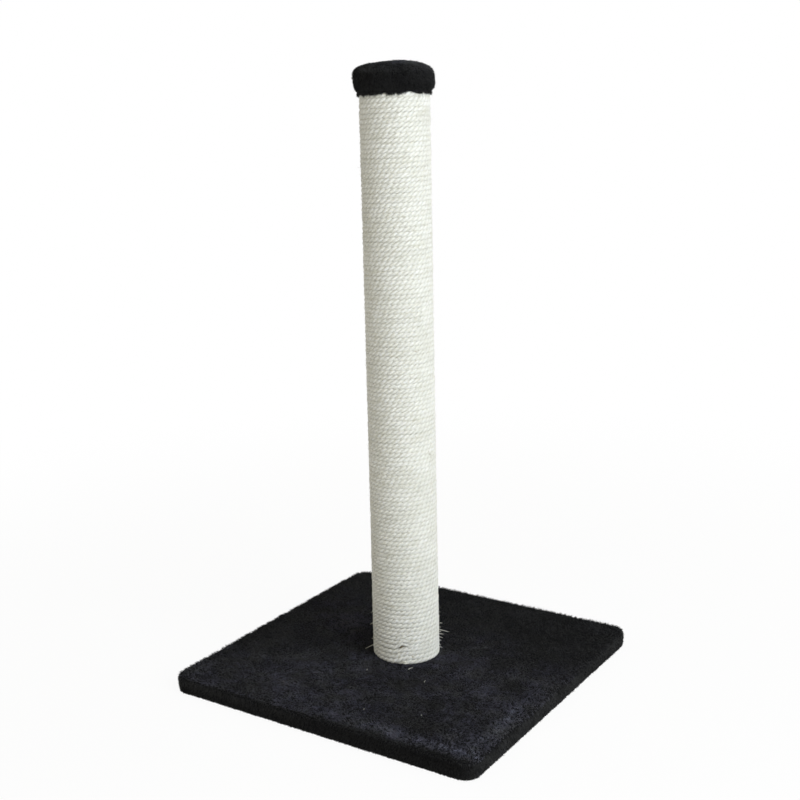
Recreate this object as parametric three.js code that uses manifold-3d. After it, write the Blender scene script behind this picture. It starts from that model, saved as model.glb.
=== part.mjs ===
// A free-standing cat scratching post: a square board covered in plush, a paperboard tube wound with
// sisal rope from foot to top, and a padded cap covered in the same plush.
// Millimetres, +Z up. The origin is the middle of the underside of the base.
import * as THREE from 'three';
import { mergeVertices } from 'three/addons/utils/BufferGeometryUtils.js';
import Module from 'manifold-3d';

const wasm = await Module();
wasm.setup();

// Fits
const contactGap = 0.3; // between faces that touch
const shankClearance = 0.3; // round a bolt, nail, screw or staple in its hole

// Chipboard base
const boardSide = 445;
const boardThickness = 18;
const boardCornerRadius = 21;

// Plush over the base, turned in under the board as a hem
const baseTopPile = 3.5;
const baseSidePile = 3.7;
const baseHemThickness = 2.4;
const baseHemWidth = 42;
const baseTopRounding = 9;
const baseBottomRounding = 6;
const leastPlush = 1.2; // cloth left over the board's sharp edges
const pressedPile = 1.5; // cloth left under the foot of the post

// Tube
const tubeOuterRadius = 37.5;
const tubeWall = 4;
const tubeLength = 741;

// Rope
const ropeThickness = 6.2; // as it lies, from the tube outwards
const ropePitch = 6; // pressed turn on turn
const ropeGrooveDepth = 1.6;
const ropeEndAngle = -56; // degrees round from +X, where the winding starts at the foot

// Wooden plugs in the tube's ends
const bottomPlugThickness = 28;
const topPlugThickness = 22;

// Nails through the tube into the plugs
const nailsPerPlug = 4;
const nailLength = 20;
const nailRadius = 1;
const nailHeadRadius = 2.6;
const nailHeadThickness = 1;
const nailSink = 0.4; // head below the tube's surface

// Bolt, washer and tee nut that hold the post to the board
const boltRadius = 4;
const boltHeadAcross = 13;
const boltHeadHeight = 5.3;
const boltPastNut = 1;
const washerRadius = 15;
const washerThickness = 1.6;
const socketRoom = 2.5; // round the washer, for a socket wrench
const headInset = 0.6; // bolt head above the board's underside
const teeFlangeRadius = 11;
const teeFlangeThickness = 1.6;
const teeBarrelRadius = 5.2;
const teeBarrelLength = 11;
const teeProngs = 3;
const teeProngLength = 7;
const teeProngWidth = 3;
const teeProngThickness = 1.2;

// Cap
const capDiscInset = 0.5; // from the tops of the turns
const capDiscThickness = 18;
const capHemThickness = 2.2;
const capHemWidth = 13.5;
const capSidePile = 6.6;
const capTopPile = 3.6;
const capTuck = 6.4; // how far the side is drawn in at its lower edge
const capTuckPower = 2.2;
const capBulgeHeight = 15; // the widest level, above the hem
const waddingCrown = 13;
const crownRadialPower = 2.2; // shape of the crown, across and up
const crownHeightPower = 4;
const waddingHeightPower = 3;
const dowelRadius = 3;
const dowelInPlug = 18;
const dowelInDisc = 15;
const dowelPoint = 4;

// Staples
const stapleCrown = 10;
const stapleLeg = 8;
const stapleWire = 0.9;
const stapleWidth = 1.2;
const stapleSink = 0.4; // crown below the surface of the cloth
const ropeStapleSink = 0.7; // crown below the tops of the turns
const ropeStapleRise = 4.5; // from the rope's end face
const stapleLead = 9; // degrees from the rope's cut end to its staple
const staplesPerSide = 4;
const stapleEndMargin = 57; // from the board's side to the first staple of a row
const hemStapleInset = 20; // from the board's edge
const capStaples = 6;
const capStapleInset = 7.5; // from the disc's edge

// Faceting
const roundSides = 32;
const smallSides = 12;
const nailSides = 8;
const ropeSteps = 16; // round one turn
const cornerSteps = 6;
const roundingSteps = 4;
const crownSteps = 8;
const waddingSteps = 5;
const tuckSteps = 3;

// Sizes that follow
const degree = Math.PI / 180;
const boardBottom = baseHemThickness + contactGap;
const boardTop = boardBottom + boardThickness;
const baseTop = boardTop + contactGap + baseTopPile;
const postFoot = boardTop + contactGap + pressedPile + contactGap;
const postTop = postFoot + tubeLength;
const capSeat = postTop + contactGap;
const tubeInnerRadius = tubeOuterRadius - tubeWall;
const plugRadius = tubeInnerRadius - contactGap;
const ropeBore = tubeOuterRadius + contactGap;
const ropeOuterRadius = ropeBore + ropeThickness;
const counterboreDepth = washerThickness + boltHeadHeight + headInset + 2 * contactGap;
const discBottom = capHemThickness + contactGap;
const discTop = discBottom + capDiscThickness;
const waddingBottom = discTop + contactGap;
const capHeight = waddingBottom + waddingCrown + contactGap + capTopPile;
const capDiscRadius = ropeOuterRadius - capDiscInset;
const capRadius = capDiscRadius + contactGap + capSidePile;

const finishes = {
  plush: { color: 0x1e1e21, roughness: 0.95, metalness: 0 },
  chipboard: { color: 0xb08d5f, roughness: 0.85, metalness: 0 },
  paperboard: { color: 0xa98f6c, roughness: 0.9, metalness: 0 },
  pine: { color: 0xd2b07a, roughness: 0.75, metalness: 0 },
  sisal: { color: 0xe4e3d6, roughness: 0.9, metalness: 0 },
  wadding: { color: 0xf2f2ee, roughness: 1, metalness: 0 },
  zincSteel: { color: 0xb9bcc0, roughness: 0.4, metalness: 1 },
};

// Solids

// A closed geometry as a solid that can be joined and cut.
function solid(geometry) {
  const bare = geometry.clone();
  bare.deleteAttribute('normal');
  bare.deleteAttribute('uv');
  const merged = mergeVertices(bare, 1e-4);
  const corners = merged.index.array;
  const triVerts = [];
  for (let i = 0; i < corners.length; i += 3) {
    const [a, b, c] = corners.slice(i, i + 3);
    if (a !== b && b !== c && c !== a) triVerts.push(a, b, c);
  }
  return new wasm.Manifold(new wasm.Mesh({
    numProp: 3,
    vertProperties: new Float32Array(merged.attributes.position.array),
    triVerts: new Uint32Array(triVerts),
  }));
}

function cut(body, ...tools) {
  return tools.reduce((left, tool) => left.subtract(tool), body);
}

// A solid turned about Z from its [radius, height] corners, listed from the foot upwards.
function turned(profile, sides = roundSides) {
  const points = profile.map(([radius, height]) => new THREE.Vector2(radius, height));
  return solid(new THREE.LatheGeometry(points, sides).rotateX(Math.PI / 2));
}

function rod(radius, bottom, top, sides = roundSides) {
  return turned([[0, bottom], [radius, bottom], [radius, top], [0, top]], sides);
}

function ring(inner, outer, bottom, top) {
  return turned([[inner, bottom], [outer, bottom], [outer, top], [inner, top], [inner, bottom]]);
}

// The radius of a faceted hole whose flats stay a gap away from a round piece.
function clearOf(radius, gap, sides = roundSides) {
  return (radius + gap) / Math.cos(Math.PI / sides);
}

function block(width, depth, height, x, y, z) {
  return solid(new THREE.BoxGeometry(width, depth, height).translate(x, y, z));
}

// One level of a square slab with round corners, drawn in by an inset.
function squareRing(halfSide, cornerRadius, inset, z) {
  const points = [];
  const centre = halfSide - cornerRadius;
  const radius = cornerRadius - inset;
  for (let corner = 0; corner < 4; corner += 1) {
    const middle = (corner + 0.5) * 90 * degree;
    const cx = Math.sign(Math.cos(middle)) * centre;
    const cy = Math.sign(Math.sin(middle)) * centre;
    for (let step = 0; step <= cornerSteps; step += 1) {
      const angle = (corner + step / cornerSteps) * 90 * degree;
      points.push([cx + radius * Math.cos(angle), cy + radius * Math.sin(angle), z]);
    }
  }
  return points;
}

// A closed solid through level rings of equal counts, with flat ends.
function loft(rings) {
  const count = rings[0].length;
  const positions = rings.flat(2);
  const index = [];
  for (let level = 0; level < rings.length - 1; level += 1) {
    for (let i = 0; i < count; i += 1) {
      const a = level * count + i;
      const b = level * count + ((i + 1) % count);
      index.push(a, b, b + count, a, b + count, a + count);
    }
  }
  const last = (rings.length - 1) * count;
  for (let i = 1; i < count - 1; i += 1) {
    index.push(0, i + 1, i);
    index.push(last, last + i, last + i + 1);
  }
  const geometry = new THREE.BufferGeometry();
  geometry.setAttribute('position', new THREE.Float32BufferAttribute(positions, 3));
  geometry.setIndex(index);
  return solid(geometry);
}

function squareSlab(side, cornerRadius, bottom, top) {
  const levels = [bottom, top];
  return loft(levels.map((z) => squareRing(side / 2, cornerRadius, 0, z)));
}

// Fasteners, and the holes they sit in. A hole is the same shape grown by a clearance.

// Outline of a staple: the crown's outer face on X, the legs up along Y.
function stapleOutline(grow, below) {
  const half = stapleCrown / 2 + grow;
  const leg = stapleWire + 2 * grow;
  const tip = stapleLeg + grow;
  const crown = stapleWire + grow;
  const outline = new THREE.Shape();
  outline.moveTo(-half, -below);
  outline.lineTo(half, -below);
  outline.lineTo(half, tip);
  outline.lineTo(half - leg, tip);
  outline.lineTo(half - leg, crown);
  outline.lineTo(leg - half, crown);
  outline.lineTo(leg - half, tip);
  outline.lineTo(-half, tip);
  outline.closePath();
  return outline;
}

function stapleGeometry(grow = 0, below = 0) {
  const depth = stapleWidth + 2 * grow;
  const geometry = new THREE.ExtrudeGeometry(stapleOutline(grow, below), { depth, bevelEnabled: false });
  return geometry.translate(0, 0, -depth / 2).rotateX(Math.PI / 2);
}

// The hole opens past the crown to the outside.
function stapleHole(place) {
  const opening = stapleSink + ropeStapleSink + ropeGrooveDepth;
  return solid(stapleGeometry(shankClearance, opening).applyMatrix4(place));
}

function nailProfile(grow, beyond) {
  const headBottom = nailLength - nailHeadThickness - grow;
  const radius = nailRadius + grow;
  const headRadius = nailHeadRadius + grow;
  const top = nailLength + beyond;
  return [
    [0, -grow],
    [radius, 2 * nailRadius],
    [radius, headBottom],
    [headRadius, headBottom],
    [headRadius, top],
    [0, top],
  ];
}

// A turn about Z, then a place: used for whatever repeats round the post.
function turnedPlace(angle, x, y, z) {
  const place = new THREE.Matrix4().makeRotationZ(angle);
  return place.multiply(new THREE.Matrix4().makeTranslation(x, y, z));
}

// Places

// Rows of staples along the four sides of the hem, crowns down.
function hemStaplePlaces() {
  const places = [];
  const span = boardSide - 2 * stapleEndMargin;
  for (let side = 0; side < 4; side += 1) {
    for (let i = 0; i < staplesPerSide; i += 1) {
      const along = -span / 2 + (span * i) / (staplesPerSide - 1);
      const out = boardSide / 2 - hemStapleInset;
      places.push(turnedPlace(side * 90 * degree, along, -out, stapleSink));
    }
  }
  return places;
}

function capStaplePlaces() {
  const out = capDiscRadius - capStapleInset;
  return Array.from({ length: capStaples }, (_, i) => (
    turnedPlace((i * 360 * degree) / capStaples, 0, -out, stapleSink)
  ));
}

// A staple through a rope's end turn, legs towards the tube's axis.
function ropeStaplePlace(angle, z) {
  const inwards = new THREE.Matrix4().makeRotationX(-Math.PI / 2);
  const out = ropeOuterRadius - ropeStapleSink;
  return turnedPlace(angle + 90 * degree, 0, -out, z).multiply(inwards);
}

const ropeTurns = tubeLength / ropePitch;
const ropeTopAngle = ropeEndAngle + 360 * ropeTurns;
const ropeStaplePlaces = [
  ropeStaplePlace((ropeEndAngle + stapleLead) * degree, ropeStapleRise),
  ropeStaplePlace((ropeTopAngle - stapleLead) * degree, tubeLength - ropeStapleRise),
];

// Nails point at the tube's axis, heads just under its surface.
function nailPlaces(z) {
  const inwards = new THREE.Matrix4().makeRotationY(Math.PI / 2);
  const tip = tubeOuterRadius - nailSink - nailLength;
  return Array.from({ length: nailsPerPlug }, (_, i) => {
    const angle = ((i + 0.5) * 360 * degree) / nailsPerPlug;
    return turnedPlace(angle, tip, 0, z).multiply(inwards);
  });
}

const bottomNailPlaces = nailPlaces(bottomPlugThickness / 2);
const topNailPlaces = nailPlaces(tubeLength - topPlugThickness / 2);

function nailHole(place) {
  const beyond = nailSink + contactGap;
  return turned(nailProfile(shankClearance, beyond), nailSides).transform(place.elements);
}

// Base

function baseBoard() {
  const board = squareSlab(boardSide, boardCornerRadius, boardBottom, boardTop);
  const boltHole = rod(clearOf(boltRadius, shankClearance), boardBottom, boardTop + 1);
  const pocketRadius = washerRadius + socketRoom;
  const pocket = rod(pocketRadius, boardBottom - 1, boardBottom + counterboreDepth);
  return cut(board, boltHole, pocket, ...hemStaplePlaces().map(stapleHole));
}

// The largest edge rounding that leaves the least cloth over the board's corner.
function roundingWithin(wanted, sidePile, endPile) {
  const reach = sidePile + endPile - leastPlush;
  const rest = sidePile ** 2 + endPile ** 2 - leastPlush ** 2;
  return Math.min(wanted, reach + Math.sqrt(reach ** 2 - rest));
}

function basePlush() {
  const cavitySide = boardSide + 2 * contactGap;
  const cavityCorner = boardCornerRadius + contactGap;
  const half = cavitySide / 2 + baseSidePile;
  const corner = cavityCorner + baseSidePile;
  const low = roundingWithin(baseBottomRounding, baseSidePile, baseHemThickness);
  const high = roundingWithin(baseTopRounding, baseSidePile, baseTopPile);
  const rings = [];
  for (let step = 0; step <= roundingSteps; step += 1) {
    const angle = (step / roundingSteps) * 90 * degree;
    rings.push(squareRing(half, corner, low * (1 - Math.sin(angle)), low * (1 - Math.cos(angle))));
  }
  for (let step = 0; step <= roundingSteps; step += 1) {
    const angle = (step / roundingSteps) * 90 * degree;
    const inset = high * (1 - Math.cos(angle));
    rings.push(squareRing(half, corner, inset, baseTop - high * (1 - Math.sin(angle))));
  }
  const boardRoom = squareSlab(cavitySide, cavityCorner, baseHemThickness, boardTop + contactGap);
  const windowSide = boardSide - 2 * baseHemWidth;
  const window = squareSlab(windowSide, boardCornerRadius, -1, boardBottom);
  const footRadius = clearOf(ropeOuterRadius, contactGap);
  const foot = rod(footRadius, postFoot - contactGap, baseTop + 1);
  const boltHole = rod(clearOf(boltRadius, shankClearance), boardTop, baseTop + 1);
  return cut(loft(rings), boardRoom, window, foot, boltHole, ...hemStaplePlaces().map(stapleHole));
}

const washerTop = boardBottom + counterboreDepth - contactGap;
const washerBottom = washerTop - washerThickness;
const boltHeadTop = washerBottom - contactGap;
const teeFlangeBottom = postFoot + bottomPlugThickness + contactGap;
const teeFlangeTop = teeFlangeBottom + teeFlangeThickness;

function boltWasher() {
  return ring(clearOf(boltRadius, shankClearance), washerRadius, washerBottom, washerTop);
}

function postBolt() {
  const headRadius = boltHeadAcross / 2 / Math.cos(30 * degree);
  const head = rod(headRadius, boltHeadTop - boltHeadHeight, boltHeadTop, 6);
  const shank = rod(boltRadius, boltHeadTop - 1, teeFlangeTop + boltPastNut, smallSides);
  return head.add(shank);
}

// Post, from its own foot upwards

// The winding: every turn is a ridge of one unbroken helix, from the foot to the top. The turns are
// pressed together, so they share a sleeve, and the groove between them dips to ropeGrooveDepth.
function ropeBlank() {
  const positions = [];
  const index = [];
  const spareTurns = 1;
  const steps = Math.ceil((ropeTurns + 2 * spareTurns) * ropeSteps);
  for (let i = 0; i <= steps; i += 1) {
    const turn = i / ropeSteps - spareTurns;
    const angle = (ropeEndAngle + 360 * turn) * degree;
    const crest = ropePitch * turn;
    const grooveRadius = ropeOuterRadius - ropeGrooveDepth;
    for (const [radius, z] of [[ropeOuterRadius, crest], [grooveRadius, crest + ropePitch / 2]]) {
      positions.push(radius * Math.cos(angle), radius * Math.sin(angle), z);
    }
  }
  const crestAt = (i) => 2 * i;
  const grooveAt = (i) => 2 * i + 1;
  const quad = (a, b, c, d) => index.push(a, b, c, a, c, d);
  for (let i = 0; i < steps; i += 1) {
    quad(crestAt(i), crestAt(i + 1), grooveAt(i + 1), grooveAt(i));
    if (i + 1 + ropeSteps <= steps) {
      quad(grooveAt(i), grooveAt(i + 1), crestAt(i + 1 + ropeSteps), crestAt(i + ropeSteps));
    }
  }
  // Both ends close on a point of the axis; the sleeve's flat ends trim them off.
  const below = positions.length / 3;
  const above = below + 1;
  const lastTurn = steps - ropeSteps;
  positions.push(0, 0, -ropePitch * (spareTurns + 1));
  positions.push(0, 0, ropePitch * (steps / ropeSteps - spareTurns + 1));
  for (let i = 0; i < ropeSteps; i += 1) {
    index.push(below, crestAt(i + 1), crestAt(i));
    index.push(above, grooveAt(lastTurn + i), grooveAt(lastTurn + i + 1));
  }
  index.push(below, crestAt(0), grooveAt(0), below, grooveAt(0), crestAt(ropeSteps));
  index.push(above, grooveAt(steps), crestAt(steps), above, crestAt(steps), grooveAt(lastTurn));
  const geometry = new THREE.BufferGeometry();
  geometry.setAttribute('position', new THREE.Float32BufferAttribute(positions, 3));
  geometry.setIndex(index);
  return { blank: solid(geometry), positions };
}

// The least distance from a crest point to the crest of another turn.
function leastCrestSpacing(positions) {
  let least = Infinity;
  const at = (i) => new THREE.Vector3().fromArray(positions, 6 * i);
  const crests = Math.floor((positions.length / 3 - 2) / 2);
  for (let i = 0; i + ropeSteps < crests; i += 1) {
    least = Math.min(least, at(i).distanceTo(at(i + ropeSteps)));
  }
  return least;
}

function sisalRope() {
  const { blank, positions } = ropeBlank();
  const spacing = leastCrestSpacing(positions).toFixed(2);
  console.log(`sisal_rope: ${ropeTurns.toFixed(1)} turns, least spacing of crests ${spacing} mm`);
  const sleeve = ring(clearOf(tubeOuterRadius, contactGap), ropeOuterRadius + 1, 0, tubeLength);
  return cut(blank.intersect(sleeve), ...ropeStaplePlaces.map(stapleHole));
}

function postTube() {
  const tube = ring(tubeInnerRadius, tubeOuterRadius, 0, tubeLength);
  const nails = [...bottomNailPlaces, ...topNailPlaces].map(nailHole);
  return cut(tube, ...nails, ...ropeStaplePlaces.map(stapleHole));
}

function bottomPlug() {
  const plug = rod(plugRadius, 0, bottomPlugThickness);
  const boltHole = rod(clearOf(boltRadius, shankClearance), -1, bottomPlugThickness);
  const barrelDepth = teeBarrelLength - teeFlangeThickness + contactGap;
  const barrelRadius = clearOf(teeBarrelRadius, shankClearance);
  const barrelHole = rod(barrelRadius, bottomPlugThickness - barrelDepth, bottomPlugThickness + 1);
  return cut(plug, boltHole, barrelHole, ...teeProngSolids(shankClearance), ...bottomNailPlaces.map(nailHole));
}

// Prongs bent down from the flange's rim, seen from the plug's own foot.
function teeProngSolids(grow) {
  const flangeBottom = bottomPlugThickness + contactGap;
  const width = teeProngWidth + 2 * grow;
  const thickness = teeProngThickness + 2 * grow;
  const height = teeProngLength + grow + 1;
  const out = teeFlangeRadius - teeProngThickness;
  const prong = block(thickness, width, height, out, 0, flangeBottom + 1 - height / 2);
  return Array.from({ length: teeProngs }, (_, i) => prong.rotate([0, 0, (i * 360) / teeProngs]));
}

function teeNut() {
  const bottom = bottomPlugThickness + contactGap;
  const flange = rod(teeFlangeRadius, bottom, bottom + teeFlangeThickness);
  const barrelFoot = bottom + teeFlangeThickness - teeBarrelLength;
  const barrel = rod(teeBarrelRadius, barrelFoot, bottom + teeFlangeThickness / 2);
  const body = [barrel, ...teeProngSolids(0)].reduce((joined, part) => joined.add(part), flange);
  const bore = rod(clearOf(boltRadius, shankClearance), barrelFoot - 1, bottom + teeFlangeThickness + 1);
  return cut(body, bore);
}

function topPlug() {
  const bottom = tubeLength - topPlugThickness;
  const plug = rod(plugRadius, bottom, tubeLength);
  const dowelHole = turned(dowelProfile(shankClearance, tubeLength + 1), smallSides);
  return cut(plug, dowelHole, ...topNailPlaces.map(nailHole));
}

// The lower, pointed end of the cap's dowel screw, up to a level of the post.
function dowelProfile(grow, top) {
  const point = tubeLength - dowelInPlug - grow;
  return [[0, point], [dowelRadius + grow, point + dowelPoint], [dowelRadius + grow, top], [0, top]];
}

// Cap, from its seat on the post upwards

// One quadrant of a crown, from its rim up to the axis.
function crownProfile(radius, bottom, height, heightPower, steps) {
  return Array.from({ length: steps + 1 }, (_, i) => {
    const angle = (i / steps) * 90 * degree;
    const out = Math.cos(angle) ** (2 / crownRadialPower);
    const up = Math.sin(angle) ** (2 / heightPower);
    return [i === steps ? 0 : radius * out, bottom + height * up];
  });
}

// The crown of the wadding, or with a gap, of the room for it.
function waddingProfile(gap) {
  const radius = capDiscRadius + gap;
  return crownProfile(radius, waddingBottom, waddingCrown + gap, waddingHeightPower, waddingSteps);
}

function capPlush() {
  const tuck = Array.from({ length: tuckSteps }, (_, i) => {
    const drop = 1 - i / tuckSteps;
    return [capRadius - capTuck * drop ** capTuckPower, capBulgeHeight * (1 - drop)];
  });
  const crownHeight = capHeight - capBulgeHeight;
  const crown = crownProfile(capRadius, capBulgeHeight, crownHeight, crownHeightPower, crownSteps);
  const outside = turned([[0, 0], ...tuck, ...crown]);
  const roomRadius = capDiscRadius + contactGap;
  const roomCrown = waddingProfile(contactGap);
  const room = turned([[0, capHemThickness], [roomRadius, capHemThickness], ...roomCrown]);
  const window = rod(capDiscRadius - capHemWidth, -1, discBottom);
  return cut(outside, room, window, ...capStaplePlaces().map(stapleHole));
}

function capDisc() {
  const disc = rod(capDiscRadius, discBottom, discTop);
  const holeTop = discBottom + dowelInDisc + shankClearance;
  const dowelHole = rod(dowelRadius + shankClearance, 0, holeTop, smallSides);
  return cut(disc, dowelHole, ...capStaplePlaces().map(stapleHole));
}

function capWadding() {
  return turned([[0, waddingBottom], ...waddingProfile(0)]);
}

function capDowelScrew() {
  const top = tubeLength + contactGap + discBottom + dowelInDisc;
  const profile = dowelProfile(0, top - dowelPoint).slice(0, 3);
  return turned([...profile, [0, top]], smallSides);
}

// Assembly

function mesh(name, body, finish) {
  const { vertProperties, triVerts } = body.getMesh();
  const geometry = new THREE.BufferGeometry();
  geometry.setAttribute('position', new THREE.BufferAttribute(new Float32Array(vertProperties), 3));
  geometry.setIndex(new THREE.BufferAttribute(new Uint32Array(triVerts), 1));
  geometry.computeVertexNormals();
  const piece = new THREE.Mesh(geometry, new THREE.MeshStandardMaterial(finishes[finish]));
  piece.name = name;
  return piece;
}

function addCopies(group, name, body, finish, places) {
  places.forEach((place, i) => {
    const piece = mesh(`${name}_${i + 1}`, body, finish);
    piece.applyMatrix4(place);
    group.add(piece);
  });
}

const scratchingPost = new THREE.Group();
const base = new THREE.Group();
const post = new THREE.Group();
const cap = new THREE.Group();
post.position.z = postFoot;
cap.position.z = capSeat;
scratchingPost.add(base, post, cap);

const staple = solid(stapleGeometry());
const nail = turned(nailProfile(0, 0), nailSides);

base.add(mesh('base_board', baseBoard(), 'chipboard'));
base.add(mesh('base_plush', basePlush(), 'plush'));
base.add(mesh('post_bolt', postBolt(), 'zincSteel'));
base.add(mesh('bolt_washer', boltWasher(), 'zincSteel'));
addCopies(base, 'hem_staple', staple, 'zincSteel', hemStaplePlaces());

post.add(mesh('post_tube', postTube(), 'paperboard'));
post.add(mesh('bottom_plug', bottomPlug(), 'pine'));
post.add(mesh('top_plug', topPlug(), 'pine'));
post.add(mesh('tee_nut', teeNut(), 'zincSteel'));
post.add(mesh('sisal_rope', sisalRope(), 'sisal'));
post.add(mesh('cap_dowel_screw', capDowelScrew(), 'zincSteel'));
addCopies(post, 'bottom_plug_nail', nail, 'zincSteel', bottomNailPlaces);
addCopies(post, 'top_plug_nail', nail, 'zincSteel', topNailPlaces);
addCopies(post, 'rope_end_staple', staple, 'zincSteel', ropeStaplePlaces);

cap.add(mesh('cap_disc', capDisc(), 'chipboard'));
cap.add(mesh('cap_wadding', capWadding(), 'wadding'));
cap.add(mesh('cap_plush', capPlush(), 'plush'));
addCopies(cap, 'cap_staple', staple, 'zincSteel', capStaplePlaces());

export default scratchingPost;
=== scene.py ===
import math

import bmesh
import bpy
import numpy as np
from mathutils import Matrix, Vector, noise


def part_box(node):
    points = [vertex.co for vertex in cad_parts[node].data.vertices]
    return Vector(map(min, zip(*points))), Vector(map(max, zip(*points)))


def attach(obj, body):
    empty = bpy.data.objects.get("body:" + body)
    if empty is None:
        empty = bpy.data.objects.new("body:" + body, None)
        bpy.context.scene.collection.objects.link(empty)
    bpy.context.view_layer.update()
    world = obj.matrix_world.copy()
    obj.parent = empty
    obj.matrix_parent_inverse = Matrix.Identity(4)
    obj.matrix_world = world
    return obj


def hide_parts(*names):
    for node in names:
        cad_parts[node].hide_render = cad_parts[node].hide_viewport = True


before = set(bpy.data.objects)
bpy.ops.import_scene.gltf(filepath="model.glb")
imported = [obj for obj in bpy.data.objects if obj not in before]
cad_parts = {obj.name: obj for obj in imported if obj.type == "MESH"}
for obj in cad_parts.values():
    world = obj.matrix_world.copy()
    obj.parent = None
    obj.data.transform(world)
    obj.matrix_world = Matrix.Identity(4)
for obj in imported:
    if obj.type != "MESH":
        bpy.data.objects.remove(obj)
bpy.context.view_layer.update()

mm = 0.001
up = np.array((0.0, 0.0, 1.0))
down = np.array((0.0, 0.0, -1.0))
# level directions, as the photograph shows them
leftward = np.array((-0.81, -0.59, 0.0))
towardsCamera = np.array((0.536, -0.844, 0.0))
print("frame loaded:", len(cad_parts), "CAD nodes")


def linearColor(hexText):
    channels = [int(hexText[i:i + 2], 16) / 255 for i in (1, 3, 5)]
    linear = [c / 12.92 if c <= 0.04045 else ((c + 0.055) / 1.055) ** 2.4 for c in channels]
    return (*linear, 1.0)


def addNode(tree, kind, inputs=None, **settings):
    # inputs are values, or the sockets of other nodes to link from
    node = tree.nodes.new(kind)
    for key, value in settings.items():
        setattr(node, key, value)
    for key, value in (inputs or {}).items():
        if isinstance(value, bpy.types.NodeSocket):
            tree.links.new(value, node.inputs[key])
        else:
            node.inputs[key].default_value = value
    return node


def newMaterial(name, sockets):
    material = bpy.data.materials.new(name)
    material.use_nodes = True
    tree = material.node_tree
    tree.nodes.clear()
    shader = addNode(tree, "ShaderNodeBsdfPrincipled", sockets)
    addNode(tree, "ShaderNodeOutputMaterial", {"Surface": shader.outputs[0]})
    return material, tree, shader


def objectPlace(tree):
    return addNode(tree, "ShaderNodeTexCoord").outputs["Object"]


def meshValue(tree, name, output="Fac"):
    # an attribute that the mesh carries
    return addNode(tree, "ShaderNodeAttribute", attribute_name=name).outputs[output]


def noiseValue(tree, vector, scale, detail, roughness=0.5):
    # on Object coordinates, 1000 divided by the scale is the size of a patch in mm
    return addNode(tree, "ShaderNodeTexNoise", {
        "Vector": vector, "Scale": scale, "Detail": detail, "Roughness": roughness}).outputs["Fac"]


def rangeValue(tree, value, start, end, low=0.0, high=1.0):
    return addNode(tree, "ShaderNodeMapRange", {
        "Value": value, "From Min": start, "From Max": end, "To Min": low, "To Max": high}).outputs["Result"]


def rampColor(tree, factor, stops):
    # stops are (position, hex colour)
    node = addNode(tree, "ShaderNodeValToRGB", {"Fac": factor})
    elements = node.color_ramp.elements
    while len(elements) < len(stops):
        elements.new(1.0)
    for element, (position, hexText) in zip(elements, stops):
        element.position = position
        element.color = linearColor(hexText)
    return node.outputs["Color"]


def mixColor(tree, share, first, second):
    return addNode(tree, "ShaderNodeMix", {0: share, 6: first, 7: second}, data_type="RGBA").outputs[2]


def setColor(tree, shader, color):
    tree.links.new(color, shader.inputs["Base Color"])


def setBump(tree, shader, height, strength, distance):
    bump = addNode(tree, "ShaderNodeBump", {"Height": height, "Strength": strength, "Distance": distance})
    tree.links.new(bump.outputs[0], shader.inputs["Normal"])


def placePiece(name, mesh, material, replaced=()):
    piece = bpy.data.objects.new(name, mesh)
    bpy.context.scene.collection.objects.link(piece)
    mesh.materials.clear()
    mesh.materials.append(material)
    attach(piece, "root")
    if replaced:
        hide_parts(*replaced)
    return piece


def unit(vectors):
    return vectors / np.maximum(np.linalg.norm(vectors, axis=-1, keepdims=True), 1e-9)


def varied(rng, count, spread):
    # factors round 1
    return 1 + spread * rng.normal(size=count)


def patchNoise(points, size, shift):
    # smooth noise from -1 to 1, with patches of about the size given
    offset = Vector((shift * 7.31, shift * 3.17, shift * 5.71))
    return np.array([noise.noise(Vector(p) / size + offset) for p in points.tolist()])


def smoothStep(low, high, value):
    part = np.clip((value - low) / (high - low), 0, 1)
    return part * part * (3 - 2 * part)


def bell(distance, width):
    # 1 at no distance, and about a third at the width given
    return np.exp(-(distance / width) ** 2)


def drift(along, length, seed):
    # smooth random values from -1 to 1 along a line, one change of mind for each length
    knots = np.random.default_rng(seed).uniform(-1, 1, int(along.max() / length) + 4)
    at = along / length
    low = np.floor(at).astype(int)
    ease = smoothStep(0, 1, at - low)
    return knots[low] * (1 - ease) + knots[low + 1] * ease


cameraSet = {
    "location": (0.8503, -1.3404, 0.7447),
    "yaw": 0.6250, "pitch": 0.2205, "roll": -0.0350,  # radians
    "lens": 56.24, "shiftX": 0.0901, "shiftY": -0.0116,
    "nearest": 0.05, "farthest": 60,
}


def makeCamera():
    yaw, pitch, roll = cameraSet["yaw"], cameraSet["pitch"], cameraSet["roll"]
    right = Vector((math.cos(yaw), math.sin(yaw), 0))
    back = Vector((math.sin(yaw) * math.cos(pitch), -math.cos(yaw) * math.cos(pitch), math.sin(pitch)))
    level = back.cross(right)
    sideways = math.cos(roll) * right + math.sin(roll) * level
    upwards = -math.sin(roll) * right + math.cos(roll) * level
    data = bpy.data.cameras.new("photo_camera")
    data.lens = cameraSet["lens"]
    data.shift_x, data.shift_y = cameraSet["shiftX"], cameraSet["shiftY"]
    data.clip_start, data.clip_end = cameraSet["nearest"], cameraSet["farthest"]
    camera = bpy.data.objects.new("photo_camera", data)
    bpy.context.scene.collection.objects.link(camera)
    turn = Matrix((sideways, upwards, back)).transposed().to_4x4()
    camera.matrix_world = Matrix.Translation(cameraSet["location"]) @ turn
    bpy.context.scene.camera = camera


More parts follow.
